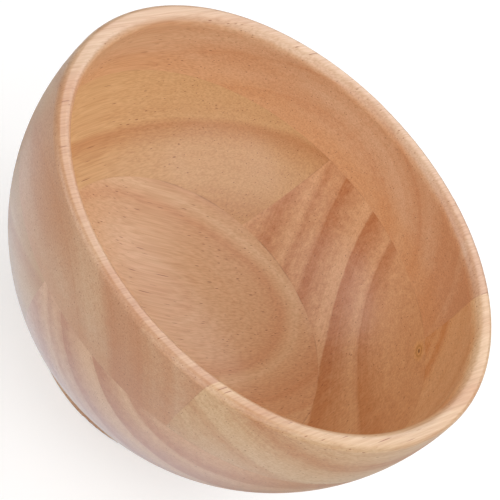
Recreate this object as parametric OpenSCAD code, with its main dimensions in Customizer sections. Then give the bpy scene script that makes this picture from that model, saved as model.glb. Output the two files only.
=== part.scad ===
// Turned wooden bowl: a deep, round serving bowl with a rounded rim and a low foot.
// It is one solid, turned about the Z axis from a glued-up blank, and stands on its
// foot at Z = 0. The section is drawn at X >= 0 as true arcs that run into each other.

/* [Outside] */
// Height from the foot's underside to the top of the rim
bowl_h = 103; // [93:1:116]
// Diameter at the widest place
belly_d = 201; // [185:1:220]
// How far the widest place lies below the top of the rim
belly_drop = 8.2; // [5:0.2:14]

/* [Hollow] */
// Thickness of the wall between the outside's and the hollow's widest places
wall_t = 7.2; // [6.4:0.2:9]
// How far the hollow's widest place lies below the top of the rim
hollow_drop = 15.6; // [12:0.2:18]
// Height of the hollow's lowest point above the foot's underside
floor_h = 13; // [10:0.5:15]
// Slope, in degrees, at which the floor's shallow curve runs into the side's curve
floor_slope = 33.6; // [28:0.2:40]

/* [Rim] */
// Radius of the rim's outer edge
rim_outer_r = 2.4; // [1:0.1:3]
// Radius of the rim's inner edge
rim_inner_r = 4; // [1.5:0.1:5]

/* [Foot] */
// Outside diameter of the foot
foot_d = 99.5; // [84:0.5:112]
// Height of the foot's side, up to where the wall leaves it
foot_h = 7.6; // [5:0.2:11]
// Radius of the cove between the foot's side and the wall
cove_r = 1.6; // [0.8:0.1:2.4]
// Radius of the foot's lower outer edge
foot_edge_r = 1.2; // [0.6:0.1:2]
// Width of the ring that the bowl stands on
ring_w = 10; // [7:0.5:14]
// Depth of the recess inside that ring
recess_depth = 2.5; // [1.5:0.1:4]
// Radius of the cove round the recess
recess_cove_r = 1.5; // [0.5:0.1:1.5]

/* [Hidden] */
$fn = 180;

// How far each rounding stands over the curve that it runs into, so that they cross in
// one clean edge and leave no sliver between them
lap = 0.002;

// A size larger than the bowl, for the outlines that cut a circle into a part of it
beyond = 2*belly_d;
wood = [0.83, 0.66, 0.49];

// Outside: one arc, upright at the widest place, that runs down to the foot
foot_r = foot_d/2;
belly_z = bowl_h - belly_drop;
belly_in = belly_d/2 - foot_r;
outside_r = (belly_in^2 + (belly_z - foot_h)^2)/(2*belly_in);
outside_c = [belly_d/2 - outside_r, belly_z];

// Hollow: a floor arc centred on the axis, and a side arc that it runs into at the
// stated slope. Across, floor_r*run + side_r*(1 - run) makes up the hollow's radius,
// and upwards, floor_r*rise + side_r*(1 - rise) makes up its depth.
run = sin(floor_slope);
rise = 1 - cos(floor_slope);
hollow_r = belly_d/2 - wall_t;
hollow_z = bowl_h - hollow_drop;
hollow_depth = hollow_z - floor_h;
side_r = (run*hollow_depth - rise*hollow_r)/(run - rise);
floor_r = ((1 - rise)*hollow_r - (1 - run)*hollow_depth)/(run - rise);
side_c = [hollow_r - side_r, hollow_z];
floor_c = [0, floor_h + floor_r];

// Rim: each edge rounding runs into its side of the wall and into the flat top
rim_outer_z = bowl_h - rim_outer_r;
rim_outer_c = [outside_c.x + leg(outside_r - rim_outer_r + lap, rim_outer_z - belly_z), rim_outer_z];
rim_inner_z = bowl_h - rim_inner_r;
rim_inner_c = [side_c.x + leg(side_r + rim_inner_r - lap, rim_inner_z - hollow_z), rim_inner_z];

// Cove: runs into the foot's side and into the outside of the wall
cove_x = foot_r + cove_r - lap;
cove_c = [cove_x, belly_z - leg(outside_r + cove_r - lap, cove_x - outside_c.x)];

recess_r = foot_r - ring_w;

// The third side of a right triangle
function leg(hypotenuse, other) = sqrt(hypotenuse^2 - other^2);

// Angle of the line from one point to another
function direction(from, to) = atan2(to.y - from.y, to.x - from.x);

// A point on a circle
function on_circle(centre, radius, angle) = centre + radius*[cos(angle), sin(angle)];

module disc(centre, radius) {
    translate(centre) circle(radius);
}

// The body inside the outer surface, above the level where the wall leaves the foot
module outside_section() {
    intersection() {
        disc(outside_c, outside_r);
        polygon([[0, foot_h], [beyond, foot_h], [beyond, bowl_h], [0, bowl_h]]);
    }
}

// The hollow: a slice of the floor's disc, from the axis out to the stated slope, and
// the side's disc, which takes over there
module hollow_section() {
    intersection() {
        disc(floor_c, floor_r);
        polygon([floor_c, [0, 0], on_circle(floor_c, 2*floor_r, floor_slope - 90)]);
    }
    disc(side_c, side_r + lap);
}

// What stays of the wall below the two roundings of the rim
module below_rim() {
    outer_cut = on_circle(outside_c, beyond, direction(outside_c, rim_outer_c));
    polygon([[0, 0], [beyond, 0], outer_cut, rim_outer_c, rim_inner_c, side_c, [0, side_c.y]]);
}

// The rim: a disc for each rounded edge, and the wood between them up to the flat top
module rim_section() {
    disc(rim_outer_c, rim_outer_r);
    disc(rim_inner_c, rim_inner_r);
    polygon([[rim_inner_c.x, rim_inner_z - rim_inner_r], [rim_outer_c.x, rim_outer_z - rim_outer_r],
             [rim_outer_c.x, bowl_h], [rim_inner_c.x, bowl_h]]);
}

// The foot's disc, with its lower edge rounded
module foot_section() {
    edge_c = [foot_r - foot_edge_r, foot_edge_r];
    polygon([[0, 0], [edge_c.x, 0], edge_c, [foot_r, edge_c.y], [foot_r, foot_h], [0, foot_h]]);
    disc(edge_c, foot_edge_r);
}

// The cove that fills the corner between the foot's side and the wall
module cove_section() {
    on_foot = [foot_r, cove_c.y];
    on_wall = on_circle(outside_c, outside_r, direction(outside_c, cove_c));
    in_wood = [foot_r - cove_r, foot_h + cove_r];
    difference() {
        polygon([on_foot, cove_c, on_wall, in_wood]);
        disc(cove_c, cove_r);
    }
}

// The recess under the foot, with a cove round its top
module recess_section() {
    corner_c = [recess_r - recess_cove_r, recess_depth - recess_cove_r];
    polygon([[0, -recess_depth], [recess_r, -recess_depth], [recess_r, corner_c.y],
             corner_c, [corner_c.x, recess_depth], [0, recess_depth]]);
    disc(corner_c, recess_cove_r);
}

module bowl_section() {
    difference() {
        union() {
            intersection() {
                difference() {
                    outside_section();
                    hollow_section();
                }
                below_rim();
            }
            rim_section();
            foot_section();
            cove_section();
        }
        recess_section();
    }
}

module bowl() {
    color(wood) rotate_extrude() bowl_section();
}

bowl();
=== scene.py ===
import math

import bpy
from mathutils import Matrix


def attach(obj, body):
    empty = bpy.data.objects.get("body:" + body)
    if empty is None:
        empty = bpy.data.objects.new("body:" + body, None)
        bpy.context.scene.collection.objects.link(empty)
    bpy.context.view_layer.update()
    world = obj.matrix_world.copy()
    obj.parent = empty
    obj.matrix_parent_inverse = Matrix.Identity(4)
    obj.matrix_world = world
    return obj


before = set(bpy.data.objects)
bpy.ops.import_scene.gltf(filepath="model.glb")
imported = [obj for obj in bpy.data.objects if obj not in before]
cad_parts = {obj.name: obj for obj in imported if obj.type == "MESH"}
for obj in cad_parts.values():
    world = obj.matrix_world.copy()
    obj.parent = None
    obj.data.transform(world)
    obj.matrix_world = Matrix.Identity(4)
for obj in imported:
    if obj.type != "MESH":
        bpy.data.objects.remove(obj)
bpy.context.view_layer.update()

# Bowl
# One solid, turned and sanded from a blank of rubberwood boards glued up in three layers,
# then oiled. The wood runs right through it, so every cut shows the board that it meets.
# Sizes in the wood are in millimetres, in the bowl's own frame.


class Signal:
    """The output of a shader node. Arithmetic on it adds the Math nodes that work it out."""

    def __init__(self, shading, socket):
        self.shading = shading
        self.socket = socket

    def work_out(self, operation, *values):
        sockets = dict(enumerate(values))
        return self.shading.node("ShaderNodeMath", {"operation": operation}, sockets)

    def __add__(self, other):
        return self.work_out("ADD", self, other)

    def __radd__(self, other):
        return self.work_out("ADD", other, self)

    def __sub__(self, other):
        return self.work_out("SUBTRACT", self, other)

    def __rsub__(self, other):
        return self.work_out("SUBTRACT", other, self)

    def __mul__(self, other):
        return self.work_out("MULTIPLY", self, other)

    def __rmul__(self, other):
        return self.work_out("MULTIPLY", other, self)

    def __truediv__(self, other):
        return self.work_out("DIVIDE", self, other)

    def __pow__(self, other):
        return self.work_out("POWER", self, other)

    def __neg__(self):
        return self.work_out("MULTIPLY", self, -1)

    def __abs__(self):
        return self.work_out("ABSOLUTE", self)

    def __gt__(self, other):
        return self.work_out("GREATER_THAN", self, other)

    def __lt__(self, other):
        return self.work_out("LESS_THAN", self, other)


class Shading:
    """The shader nodes of a material or of the world, which are added one at a time."""

    def __init__(self, owner):
        owner.use_nodes = True
        self.tree = owner.node_tree
        self.tree.nodes.clear()

    def node(self, kind, settings, sockets, output=0):
        """Adds a node: first its settings, then the value of, or the link to, each socket."""
        made = self.tree.nodes.new(kind)
        for name, value in settings.items():
            if name == "stops":
                stops = made.color_ramp.elements
                while len(stops) < len(value):
                    stops.new(1)
                for stop, (position, colour) in zip(stops, value):
                    stop.position = position
                    stop.color = colour
            else:
                setattr(made, name, value)
        for name, value in sockets.items():
            if isinstance(value, Signal):
                self.tree.links.new(value.socket, made.inputs[name])
            else:
                made.inputs[name].default_value = value
        return Signal(self, made.outputs[output] if made.outputs else None)


def paint(red, green, blue):
    """A colour given as it looks on a screen, from 0 to 255, as the shaders want it."""
    shares = [channel/255 for channel in (red, green, blue)]
    return [*(((share + 0.055)/1.055)**2.4 for share in shares), 1]


def rise(value, start, end):
    """0 before the start, 1 past the end, and smooth between them."""
    return value.shading.node("ShaderNodeMapRange", {"interpolation_type": "SMOOTHSTEP"},
                              {"Value": value, "From Min": start, "From Max": end})


wood_material = bpy.data.materials.new("oiled_rubberwood")
wood = Shading(wood_material)


def vector(first, second, third):
    """Three numbers together: a place in the wood, or the parts of a colour."""
    return wood.node("ShaderNodeCombineXYZ", {}, {"X": first, "Y": second, "Z": third})


# The Mix node has sockets for every kind of value, and these are the ones for colours
mix_share = 0
mix_one = 6
mix_other = 7
mix_result = 2


def blend(one, other, share, blend_type="MIX"):
    """A colour between two, by a share from 0 to 1."""
    return wood.node("ShaderNodeMix", {"data_type": "RGBA", "blend_type": blend_type},
                     {mix_share: share, mix_one: one, mix_other: other}, output=mix_result)


def cloud(where, detail=2):
    """A soft noise, from about -0.5 to 0.5."""
    noise = wood.node("ShaderNodeTexNoise", {}, {"Vector": where, "Scale": 1, "Detail": detail})
    return noise - 0.5


millimetres = 1000
object_place = wood.node("ShaderNodeTexCoord", {}, {}, output="Object")
place = wood.node("ShaderNodeVectorMath", {"operation": "SCALE"}, {0: object_place, "Scale": millimetres})
x = wood.node("ShaderNodeSeparateXYZ", {}, {0: place}, output="X")
y = wood.node("ShaderNodeSeparateXYZ", {}, {0: place}, output="Y")
z = wood.node("ShaderNodeSeparateXYZ", {}, {0: place}, output="Z")

# Two glue planes part the three layers, and the upper one was planed a little out of level
lower_joint = 33
upper_joint = 71.5
upper_joint_tilt = 0.018
upper_joint_level = z + y*upper_joint_tilt
above_lower = z > lower_joint
above_upper = upper_joint_level > upper_joint
in_middle = above_lower*(1 - above_upper)


def across_grain(azimuth):
    """How far a point lies to the right of the bowl's centre, seen along the grain."""
    turn = math.radians(azimuth)
    return x*math.sin(turn) - y*math.cos(turn)


def along_grain(azimuth):
    """How far a point lies along the grain from the bowl's centre."""
    turn = math.radians(azimuth)
    return x*math.cos(turn) + y*math.sin(turn)


# The grain of each layer runs its own way. The upper and middle layers are each glued from
# two boards, which meet side by side at a seam along the grain.
bottom_azimuth = 45
middle_azimuth = 78
upper_azimuth = 71
middle_seam = -23
upper_seam = 54
across_middle = across_grain(middle_azimuth)
across_upper = across_grain(upper_azimuth)
middle_right = across_middle > middle_seam
upper_right = across_upper > upper_seam


def by_layer(measure):
    """The sine or cosine of the grain's azimuth, which changes at the joints."""
    return (measure(math.radians(bottom_azimuth))*(1 - above_lower)
            + measure(math.radians(middle_azimuth))*in_middle
            + measure(math.radians(upper_azimuth))*above_upper)


cosine = by_layer(math.cos)
sine = by_layer(math.sin)
across = x*sine - y*cosine
along = x*cosine + y*sine


def grain_cloud(width, length, detail=2):
    """A noise whose spots are so wide across the grain and so long along it."""
    return cloud(vector(across/width, z/width, along/length), detail)


# The growth rings waver a little, mostly across the grain
waver = grain_cloud(width=16, length=70)*1.8 + grain_cloud(width=4, length=30)*0.6

# How far along the grain each pith's place is given
pith_station = 60


def ring_radius(azimuth, pith, drift, lean):
    """How far a point lies out from the pith, which is given by its place across and up and
    leans as it runs along the board. The rings drift off it as they grow."""
    run = along_grain(azimuth) - pith_station
    side = across_grain(azimuth) - pith[0] - run*lean[0]
    up = z - pith[1] - run*lean[1]
    towards = side*drift[0] + up*drift[1]
    shrink = 1 - drift[0]**2 - drift[1]**2
    return ((towards*towards + shrink*(side*side + up*up))**0.5 - towards)/shrink + waver


def ring_tone(radius, bands):
    """How pale the wood is at a radius: the bands give radii and the paleness there."""
    first = bands[0][0]
    reach = bands[-1][0] - first
    stops = [((at - first)/reach, [pale, pale, pale, 1]) for at, pale in bands]
    return wood.node("ShaderNodeValToRGB", {"stops": stops}, {"Fac": (radius - first)/reach})


# The fine lines between the bands are this far apart, high and long
line_spacing = 0.8
line_height = 60
line_length = 90
line_strength = 0.55


def board(radius, bands, dark, pale, streaky, slow):
    """A board's colour, from dark to pale: its growth bands, the fine lines that follow
    them, the streaks in its grain, and a slow change over it."""
    line_place = vector(radius/line_spacing, z/line_height, along/line_length)
    lines = cloud(line_place, detail=3)*line_strength
    streaks = grain_cloud(width=2.2, length=60, detail=3)*streaky
    return blend(dark, pale, ring_tone(radius, bands) + lines + streaks + slow)


# Bottom board: its grain runs aslant to the others, and the floor of the hollow is cut into
# it almost flat, so that the bands show there as broad ovals. It is more amber at the right.
bottom_dark = paint(210, 155, 112)
bottom_pale = paint(227, 190, 149)
bottom_amber = paint(209, 143, 87)
bottom_bands = [(60, 0.6), (72, 0.5), (76, 0.68), (80, 0.62), (84, 0.5), (86, 0.25), (87.5, 0.28),
                (89.5, 0.75), (91, 0.95), (93, 0.65), (96, 0.4), (99, 0.22), (100.8, 0), (103, 0.35),
                (107, 0.5), (109.5, 0.2), (112, 0.8), (120, 0.5), (135, 0.6)]
bottom_radius = ring_radius(bottom_azimuth, pith=(-17.7, -50.6), drift=(-0.06, -0.1), lean=(0.22, -0.04))
bottom = board(bottom_radius, bottom_bands, bottom_dark, bottom_pale, streaky=0.2, slow=x*-0.0015)
bottom_amber_share = rise(x, 15, 65)*0.32
bottom = blend(bottom, bottom_amber, bottom_amber_share)

# Middle layer, left board: a quiet, pale yellow board with one brown band. High up on the
# left, outside the bowl, it is painted browner, as painted shade.
left_azimuth = 79
left_dark = paint(203, 149, 101)
left_pale = paint(222, 183, 134)
left_shade_brown = paint(192, 142, 94)
left_bands = [(90, 0.5), (138, 0.4), (143, 0.42), (147, 0.58), (151, 0.8), (158, 0.75), (162, 0.76),
              (167.3, 0.5), (170.5, 0.25), (173.4, 0.02), (175.3, 0.4), (176.8, 0.85),
              (180, 0.68), (187, 0.88), (191, 0.78), (195, 0.88), (205, 0.7)]
left_radius = ring_radius(left_azimuth, pith=(21.6, -97.4), drift=(0, 0), lean=(0, 0))
middle_left_wood = board(left_radius, left_bands, left_dark, left_pale, streaky=0.3, slow=x*-0.002 - 0.08)
# Painted shade: browner high up on the near left, just below the joint
left_painted_shade_share = rise(z, 58, 70)*rise(-x, 20, 50)*(y < 0)*0.45
middle_left_wood = blend(middle_left_wood, left_shade_brown, left_painted_shade_share)

# Middle layer, right board: the striped one, whose bands darken slowly and end sharply. The
# rings bend round a pin knot near its far end. The knot's place is given across the grain,
# up and along the grain, and it counts each way by its own weight, which makes it an oval.
right_azimuth = 76.4
knot_place = (63.8, 67.6, 64.6)
knot_weight_across = 0.35
knot_weight_along = 0.12
knot_across = across_grain(right_azimuth) - knot_place[0]
knot_up = z - knot_place[1]
knot_along = along_grain(right_azimuth) - knot_place[2]
from_knot = (knot_across*knot_across*knot_weight_across + knot_up*knot_up
             + knot_along*knot_along*knot_weight_along)**0.5
knot_reach = 7
knot_pull = 9
by_knot = 1 - rise(from_knot + waver*0.6, 0, knot_reach)
right_dark = paint(193, 127, 81)
right_pale = paint(228, 183, 140)
right_amber = paint(203, 146, 84)
right_bands = [(0, 0.75), (15, 0.7), (30, 0.75), (36, 0.66), (40, 0.45), (44, 0.2), (47, 0.15),
               (48, 0.66), (50.6, 0.82), (54.5, 0.56), (57.5, 0.36), (61, 0.2), (63, 0.08),
               (67, 0.03), (68.1, 0.8), (72.5, 0.95), (75, 0.8), (81, 0.52), (84, 0.4), (87, 0.16),
               (91.1, 0), (92, 0.42), (96, 0.63), (99.5, 0.58), (102.7, 0.32), (107, 0.88),
               (109.5, 0.7), (115, 0.38), (118, 0.24), (122.5, 0.28), (127, 0.55), (133, 0.7)]
right_radius = ring_radius(right_azimuth, pith=(51.6, 74.7), drift=(0.208, 0.318), lean=(0.02, -0.137))
right_radius = right_radius - by_knot*knot_pull
middle_right_wood = board(right_radius, right_bands, right_dark, right_pale,
                          streaky=0.85, slow=x*-0.0015 + 0.06)
right_amber_share = rise(x, 35, 80)*0.35
middle_right_wood = blend(middle_right_wood, right_amber, right_amber_share)

# The knot: a pale oval of wood turned end on, a brown ring of bark in it, and a dark heart
knot_pale = paint(224, 172, 104)
knot_brown = paint(168, 104, 52)
knot_dark = paint(120, 66, 36)
knot_wood = (1 - rise(from_knot, 1, 3.2))*0.8
knot_bark = rise(from_knot, 0.8, 1.2)*(1 - rise(from_knot, 1.3, 1.9))*0.55
knot_heart = (1 - rise(from_knot, 0.3, 0.8))*0.85
middle_right_wood = blend(middle_right_wood, knot_pale, knot_wood)
middle_right_wood = blend(middle_right_wood, knot_brown, knot_bark)
middle_right_wood = blend(middle_right_wood, knot_dark, knot_heart)

# Upper layer, wide board: broad soft orange bands that run along under the rim. It is yellower
# just above the joint, tan in a patch at the far left, painted orange under the rim at the near
# left as painted shade, and browner in some of the rings at its near end.
wide_azimuth = 74.4
wide_dark = paint(209, 154, 111)
wide_pale = paint(224, 186, 149)
wide_yellow = paint(214, 151, 92)
wide_tan = paint(206, 140, 86)
wide_shade_orange = paint(200, 128, 72)
wide_brown = paint(196, 124, 76)
wide_bands = [(30, 0.4), (47, 0.5), (53, 0.58), (57.7, 0.34), (59.2, 0.22), (60.7, 0.42),
              (65.3, 0.75), (71.3, 0.5), (72.8, 0.38), (74.8, 0.22), (77.3, 0.45), (80, 0.66),
              (84, 0.5), (87.7, 0.26), (89.3, 0.02), (91, 0.3), (94, 0.32), (96.8, 0.1),
              (98.3, 0.25), (99.8, 0.62), (101.3, 0.5), (104, 0.28), (108.8, 0.08), (112, 0)]
wide_radius = ring_radius(wide_azimuth, pith=(-27.8, 24.2), drift=(-0.051, 0.063), lean=(0.058, -0.064))
wide_wood = board(wide_radius, wide_bands, wide_dark, wide_pale, streaky=0.7, slow=x*-0.004)
by_joint = (1 - rise(z, 74, 84))*0.4
wide_wood = blend(wide_wood, wide_yellow, by_joint)
patch_middle_x = -50
patch_middle_z = 85
patch_half_length = 32
patch_half_height = 7
patch_side = (x - patch_middle_x)/patch_half_length
patch_up = (z - patch_middle_z)/patch_half_height
from_patch = (patch_side**2 + patch_up**2)**0.5
far_patch = (1 - rise(from_patch, 0.3, 1.3))*(y > 0)*0.35
wide_wood = blend(wide_wood, wide_tan, far_patch)
# Painted shade: a warmer, darker orange under the rim at the near left
near_left_painted_shade = rise(z, 76, 88)*rise(-x, 28, 60)*(1 - rise(-x, 84, 96))*(y < 0)*0.5
wide_wood = blend(wide_wood, wide_shade_orange, near_left_painted_shade)
near_end_rings = rise(-along, 45, 85)*rise(wide_radius, 71, 77)*(1 - rise(wide_radius, 86, 89))*0.45
wide_wood = blend(wide_wood, wide_brown, near_end_rings)

# Upper layer, narrow board: pale and creamy, with one brown streak below the seam, and a
# little more orange on the side that faces the hollow
narrow_azimuth = 73.1
narrow_dark = paint(200, 135, 82)
narrow_pale = paint(230, 194, 149)
narrow_orange = paint(230, 162, 86)
narrow_bands = [(115, 0.3), (127, 0.1), (131, 0.45), (132.3, 0.35), (133.3, 0.12), (134.5, 0),
                (136, 0), (137.6, 0.4), (141, 0.6), (147, 0.66), (151.5, 0.52), (155, 0.65),
                (159, 0.75), (163, 0.68), (167.5, 0.48), (169.5, 0.55), (172.5, 0.92), (178, 0.8),
                (183, 0.6), (186, 0.3), (188.5, 0.2), (191, 0.4), (194, 0.68), (205, 0.75)]
narrow_radius = ring_radius(narrow_azimuth, pith=(-0.7, -4.4), drift=(-0.051, -0.252), lean=(0.165, 0.045))
narrow_wood = board(narrow_radius, narrow_bands, narrow_dark, narrow_pale, streaky=0.6, slow=0.03)
narrow_orange_share = rise(y, -35, -5)*0.2
narrow_wood = blend(narrow_wood, narrow_orange, narrow_orange_share)

# The blank: the boards put together. The upper layer grows paler towards the left, and along
# its grain it is painted paler and less yellow towards its far end, as painted light, and darker
# towards its near end, as painted shade, by so much in its red, green and blue.
middle = blend(middle_left_wood, middle_right_wood, middle_right)
upper = blend(wide_wood, narrow_wood, upper_right)
painted_light_along = (0.0008, 0.0011, 0.0014)
paler_left = (0.0004, 0.0004, 0.0002)
paler_middle = (0.995, 1.005, 1.03)
tone_and_painted_light = vector(*(along*by_run - x*by_side + middle_tone for by_run, by_side, middle_tone
                 in zip(painted_light_along, paler_left, paler_middle)))
upper = wood.node("ShaderNodeVectorMath", {"operation": "MULTIPLY"}, {0: upper, 1: tone_and_painted_light})
figure = blend(blend(bottom, middle, above_lower), upper, above_upper)


def glue_line(distance):
    """A hair of glue at a distance of 0 from its plane."""
    return 1 - rise(abs(distance), 0.05, 0.25)


# Brown glue shows here and there along the joints and the seams
glue = (glue_line(z - lower_joint) + glue_line(upper_joint_level - upper_joint)
        + glue_line(across_middle - middle_seam)*in_middle
        + glue_line(across_upper - upper_seam)*above_upper)
glue_brown = paint(140, 82, 46)
glue_patches = rise(cloud(vector(x/14, y/14, z/14)), -0.05, 0.25)
figure = blend(figure, glue_brown, glue*glue_patches*0.4)

# The rim is painted a little greyer, as a painted sheen, most of all on the far side, where it
# stands for the cool light that the rim reflects from behind
rim_sheen_grey = paint(198, 182, 170)
rim_sheen_share = rise(z, 100, 102.5)*(rise(y, -60, 0)*0.1 + 0.12)
figure = blend(figure, rim_sheen_grey, rim_sheen_share)

# Fibres and vessels run with each board's grain: fine streaks and brown dashes on a cut
# along it, and dots on a cut across it. A few vessels are much wider than the rest.
fibre_stain = paint(212, 184, 156)
fibres = grain_cloud(width=0.6, length=24, detail=3)
stained = blend(figure, fibre_stain, 1.0, blend_type="MULTIPLY")
streaked = blend(figure, stained, fibres*1.45 + 0.2)
narrowest_vessel = 0.04


def vessels(spacing, length, widest):
    """The open vessels, from 0 to 1, each in its own cell of the wood. Most are narrow."""
    cell = vector(across/spacing, z/spacing, along/length)
    away = wood.node("ShaderNodeTexVoronoi", {}, {"Vector": cell, "Scale": 1}, output="Distance")
    tint = wood.node("ShaderNodeTexVoronoi", {}, {"Vector": cell, "Scale": 1}, output="Color")
    chance = wood.node("ShaderNodeSeparateColor", {}, {0: tint})
    vessel_radius = narrowest_vessel + chance**3*widest
    return 1 - rise(away/vessel_radius, 0.5, 1)


fine_vessels = vessels(spacing=0.9, length=24, widest=0.26)
wide_vessels = vessels(spacing=2.6, length=26, widest=0.12)
fine_brown = paint(152, 88, 48)
vessel_brown = paint(146, 88, 50)
fainter_on_rim = rise(z, 98, 101)*0.3
surface = blend(streaked, fine_brown, fine_vessels*0.9)
surface = blend(surface, vessel_brown, wide_vessels*(0.65 - fainter_on_rim))

# Clear satin oil over the sanded wood: a soft sheen that the open vessels break
roughness = 0.45 + cloud(vector(x/9, y/9, z/9))*0.08 + wide_vessels*0.2
relief = wood.node("ShaderNodeBump", {}, {"Strength": 0.3, "Distance": 0.00005,
                                          "Height": -wide_vessels - fine_vessels*0.5})
shader = wood.node("ShaderNodeBsdfPrincipled", {}, {"Base Color": surface, "Roughness": roughness,
                                                    "IOR": 1.45, "Coat Weight": 0.5,
                                                    "Coat Roughness": 0.22, "Normal": relief})
wood.node("ShaderNodeOutputMaterial", {}, {"Surface": shader})

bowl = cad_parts["bowl"]
bowl.data.materials.clear()
bowl.data.materials.append(wood_material)
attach(bowl, "root")

# Floor
# A plain sheet of matt white paper, much larger than the bowl. Its glow for the camera takes
# it to white and leaves the bowl's soft shadow on it. The bowl's gloss sees a cool glow, only
# near the bowl and in front of it.
floor_reach = 4
paper_grey = (0.5, 0.5, 0.5, 1)
near_glow = 0.58
far_glow = 1
gloss_colour = (0.8, 1, 1.25, 1)
gloss_glow = 0.24
gloss_glow_close = 0.68
front_slant = 0.25

floor_mesh = bpy.data.meshes.new("floor")
floor_corners = [(-floor_reach, -floor_reach, 0), (floor_reach, -floor_reach, 0),
                 (floor_reach, floor_reach, 0), (-floor_reach, floor_reach, 0)]
floor_mesh.from_pydata(floor_corners, [], [(0, 1, 2, 3)])
floor = bpy.data.objects.new("floor", floor_mesh)
bpy.context.scene.collection.objects.link(floor)

floor_material = bpy.data.materials.new("white_sweep")
paper = Shading(floor_material)
seen_by_camera = paper.node("ShaderNodeLightPath", {}, {}, output="Is Camera Ray")
seen_in_gloss = paper.node("ShaderNodeLightPath", {}, {}, output="Is Glossy Ray")
floor_place = paper.node("ShaderNodeTexCoord", {}, {}, output="Object")
floor_x = paper.node("ShaderNodeSeparateXYZ", {}, {0: floor_place}, output="X")
floor_y = paper.node("ShaderNodeSeparateXYZ", {}, {0: floor_place}, output="Y")
floor_radius = (floor_x*floor_x + floor_y*floor_y)**0.5
in_front = rise(floor_y + floor_x*front_slant, 0.01, -0.09)
close = rise(floor_radius, 0.21, 0.11)
far = rise(floor_radius, 0.4, 1.4)
camera_strength = seen_by_camera*(far*(far_glow - near_glow) + near_glow)
gloss_strength = seen_in_gloss*in_front*(close*gloss_glow_close + gloss_glow)
matt = paper.node("ShaderNodeBsdfDiffuse", {}, {"Color": paper_grey})
glow = paper.node("ShaderNodeEmission", {}, {"Color": (1, 1, 1, 1), "Strength": camera_strength})
sheen = paper.node("ShaderNodeEmission", {}, {"Color": gloss_colour, "Strength": gloss_strength})
lit = paper.node("ShaderNodeAddShader", {}, {0: matt, 1: glow})
lit = paper.node("ShaderNodeAddShader", {}, {0: lit, 1: sheen})
paper.node("ShaderNodeOutputMaterial", {}, {"Surface": lit})
floor_mesh.materials.append(floor_material)

# Lights
# Seven round soft lamps on stands round the bowl, all at one distance and aimed at it, in a
# dim white room. Each line gives a name, azimuth, elevation, diameter in metres and watts.
lamp_distance = 1.8
lamp_stands = [("key", 320, 42, 1.9, 16),
               ("right", 25, 42, 1.9, 10),
               ("front", 285, 14, 1.9, 8.5),
               ("left", 215, 42, 1.9, 11.5),
               ("low_left", 205, 21, 1.2, 4.8),
               ("back", 85, 42, 1.9, 20),
               ("top", 300, 82, 0.8, 1.2)]
for name, azimuth, elevation, diameter, watts in lamp_stands:
    lamp_data = bpy.data.lights.new(name, "AREA")
    lamp_data.shape = "DISK"
    lamp_data.size = diameter
    lamp_data.energy = watts
    lamp = bpy.data.objects.new(name, lamp_data)
    bpy.context.scene.collection.objects.link(lamp)
    lamp.matrix_world = (Matrix.Rotation(math.radians(azimuth + 90), 4, "Z")
                         @ Matrix.Rotation(math.radians(90 - elevation), 4, "X")
                         @ Matrix.Translation((0, 0, lamp_distance)))

# The room gives a little light from all sides, and the camera sees it as a white backdrop
room_glow = 0.06
backdrop_glow = 1
world = bpy.data.worlds.new("white_room")
bpy.context.scene.world = world
room = Shading(world)
backdrop = room.node("ShaderNodeLightPath", {}, {}, output="Is Camera Ray")
room_strength = backdrop*(backdrop_glow - room_glow) + room_glow
room_light = room.node("ShaderNodeBackground", {}, {"Color": (1, 1, 1, 1), "Strength": room_strength})
room.node("ShaderNodeOutputWorld", {}, {"Surface": room_light})

# Camera
# A long lens in front of the bowl and above it, at the picture's viewing angle. It is
# rolled, because the bowl leans in the picture.
camera_data = bpy.data.cameras.new("camera")
camera_data.lens = 154.2
camera_data.sensor_width = 36
camera = bpy.data.objects.new("camera", camera_data)
bpy.context.scene.collection.objects.link(camera)
aim_height = 0.0787
camera_distance = 0.8243
camera_elevation = math.radians(39.09)
camera_roll = math.radians(46.28)
turned = Matrix.Rotation(math.pi/2 - camera_elevation, 4, "X") @ Matrix.Rotation(camera_roll, 4, "Z")
camera.matrix_world = (Matrix.Translation((0, 0, aim_height)) @ turned
                       @ Matrix.Translation((0, 0, camera_distance)))
bpy.context.scene.camera = camera
bpy.context.scene.view_settings.view_transform = "Standard"
